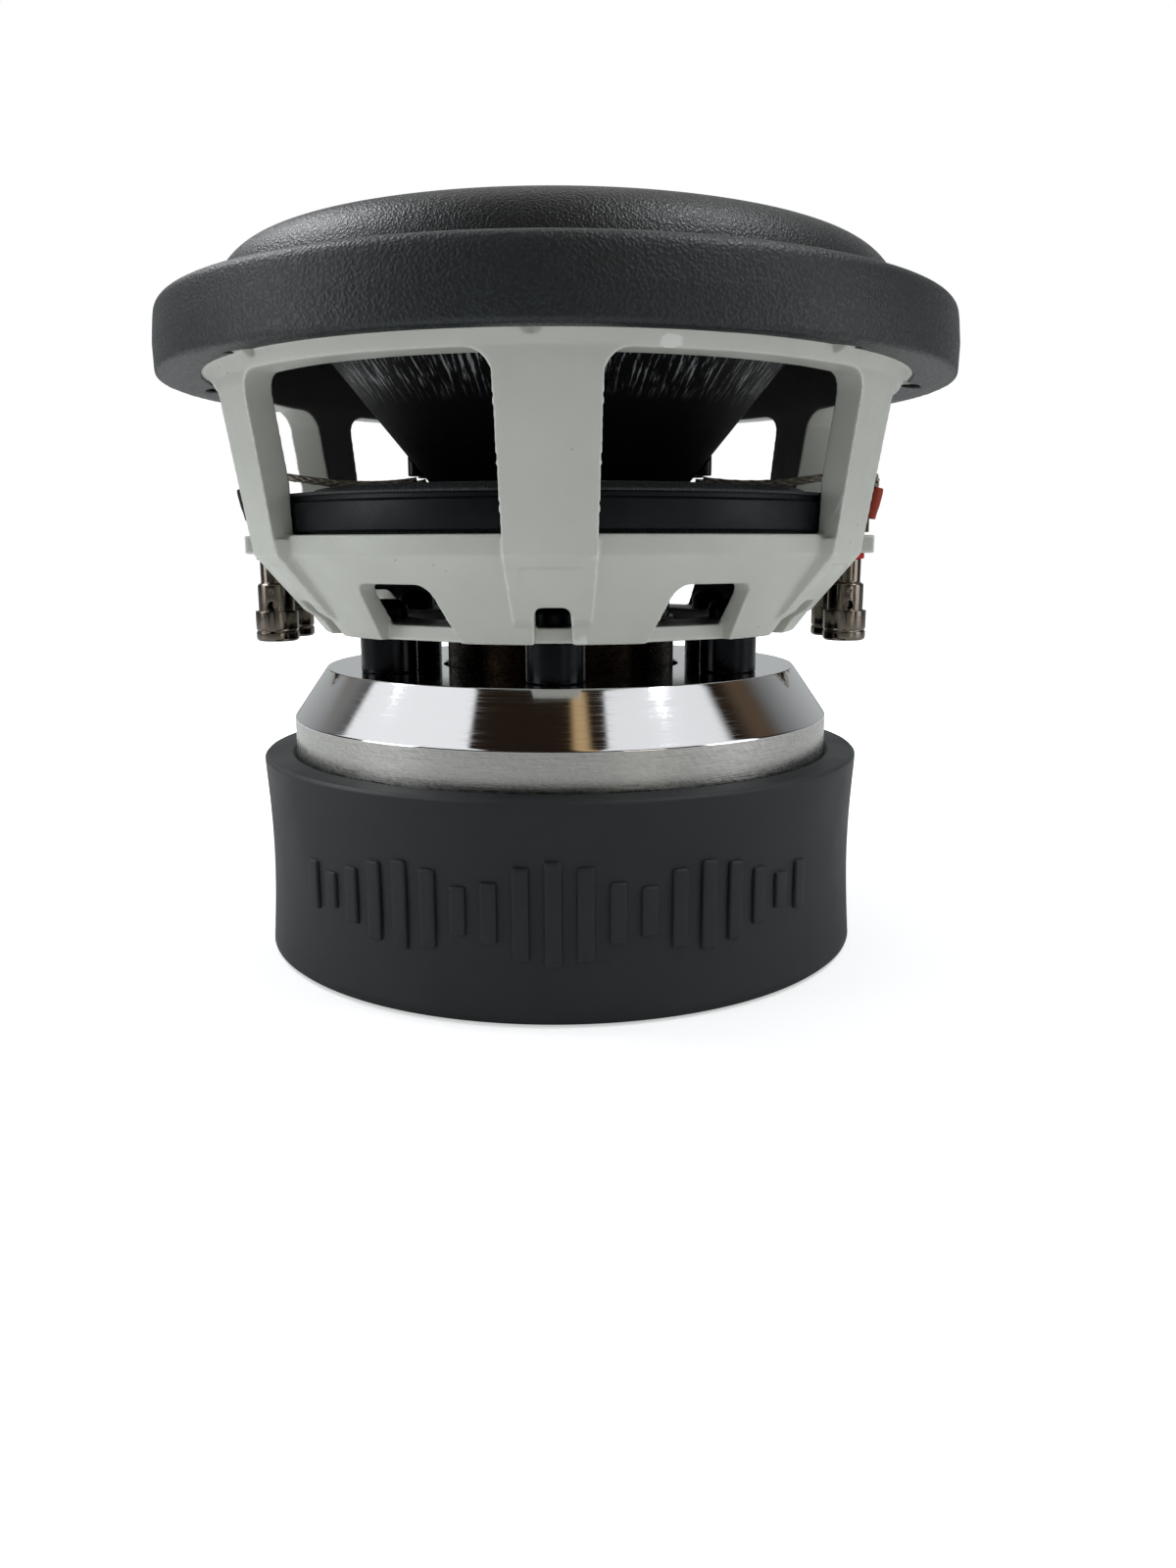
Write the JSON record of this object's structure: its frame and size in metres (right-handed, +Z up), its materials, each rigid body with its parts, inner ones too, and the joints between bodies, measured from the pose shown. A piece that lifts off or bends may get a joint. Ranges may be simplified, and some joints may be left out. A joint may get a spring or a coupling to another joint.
{
  "type": "car subwoofer speaker",
  "caption": "Car subwoofer driver with a cast spoked basket, rubber trim ring, tall half-roll surround, polished top plate, rubber magnet boot and push terminals.",
  "frame": {"origin": "centre of the rubber boot's underside, where the speaker stands", "axes": "+Z up along the speaker's axis, toward the cone's front; +X to the right of the front spoke; -Y toward the viewer"},
  "size_m": [0.216, 0.216, 0.1866],
  "materials": {
    "frame_paint": "light grey paint on cast aluminium, satin",
    "trim_rubber": "fine pebble grain",
    "surround_rubber": "coarse speckled grain",
    "spider_cloth": "resin-treated woven cloth",
    "black_plastic": "satin",
    "black_anodised": "black anodised",
    "black_steel": "black oxide",
    "plate_chrome": "turned and polished",
    "ferrite": "matte ferrite",
    "black_zinc": "black zinc",
    "copper": "plain copper",
    "screen_steel": "perforated sheet",
    "boot_rubber": "smooth matte",
    "gunmetal": "black nickel plate",
    "red_plastic": "moulded",
    "black_washer": "moulded",
    "nickel": "nickel plate",
    "tinned_brass": "tinned",
    "red_sleeve": "heat-shrink sleeve",
    "black_sleeve": "heat-shrink sleeve",
    "spring_steel": "music wire",
    "tinsel": "braided tinsel",
    "cone_pulp": "pressed fibre, brushed black coat",
    "cap_rubber": "satin",
    "former_black": "black anodised foil",
    "winding_copper": "dark lacquered wire",
    "glue": "cured adhesive"
  },
  "bodies": {
    "chassis": {"basket": "frame_paint", "trim_ring": "trim_rubber", "surround": "surround_rubber", "spider_lower": "spider_cloth", "spider_upper": "spider_cloth", "spider_spacer": "black_plastic", "standoffs": "black_anodised", "motor_bolts": "black_steel", "top_plate": "plate_chrome", "magnet_upper": "ferrite", "magnet_lower": "ferrite", "back_plate": "black_zinc", "pole_sleeve": "copper", "vent_screen": "screen_steel", "boot": "boot_rubber", "terminal_bodies": "gunmetal", "washers_red": "red_plastic", "washers_black": "black_washer", "upper_washers": "black_washer", "terminal_nuts": "nickel", "solder_lugs": "tinned_brass", "sleeves_red": "red_sleeve", "sleeves_black": "black_sleeve", "spring_ln": "spring_steel", "spring_lf": "spring_steel", "spring_rn": "spring_steel", "spring_rf": "spring_steel", "lead_ln": "tinsel", "lead_lf": "tinsel", "lead_rn": "tinsel", "lead_rf": "tinsel"},
    "cone_assembly": {"cone": "cone_pulp", "dust_cap": "cap_rubber", "coil_former": "former_black", "voice_coil": "winding_copper", "neck_collar": "black_plastic", "lead_pads": "glue"},
    "cap_ln": {"cap_ln": "gunmetal"},
    "cap_lf": {"cap_lf": "gunmetal"},
    "cap_rn": {"cap_rn": "gunmetal"},
    "cap_rf": {"cap_rf": "gunmetal"}
  },
  "joints": [
    {"name": "cone_slide", "type": "slide", "parent": "chassis", "child": "cone_assembly", "axis": [0, 0, 1], "range_m": [-0.014, 0.014], "stiffness_N_per_m": 8000, "springref_m": 0.00025, "deforming": ["surround", "spider_lower", "spider_upper", "lead_ln", "lead_lf", "lead_rn", "lead_rf"]},
    {"name": "push_ln", "type": "slide", "parent": "chassis", "child": "cap_ln", "axis": [0, 0, 1], "range_m": [0, 0.0032], "stiffness_N_per_m": 900, "springref_m": -0.0015, "deforming": ["spring_ln"]},
    {"name": "push_lf", "type": "slide", "parent": "chassis", "child": "cap_lf", "axis": [0, 0, 1], "range_m": [0, 0.0032], "stiffness_N_per_m": 900, "springref_m": -0.0015, "deforming": ["spring_lf"]},
    {"name": "push_rn", "type": "slide", "parent": "chassis", "child": "cap_rn", "axis": [0, 0, 1], "range_m": [0, 0.0032], "stiffness_N_per_m": 900, "springref_m": -0.0015, "deforming": ["spring_rn"]},
    {"name": "push_rf", "type": "slide", "parent": "chassis", "child": "cap_rf", "axis": [0, 0, 1], "range_m": [0, 0.0032], "stiffness_N_per_m": 900, "springref_m": -0.0015, "deforming": ["spring_rf"]}
  ]
}
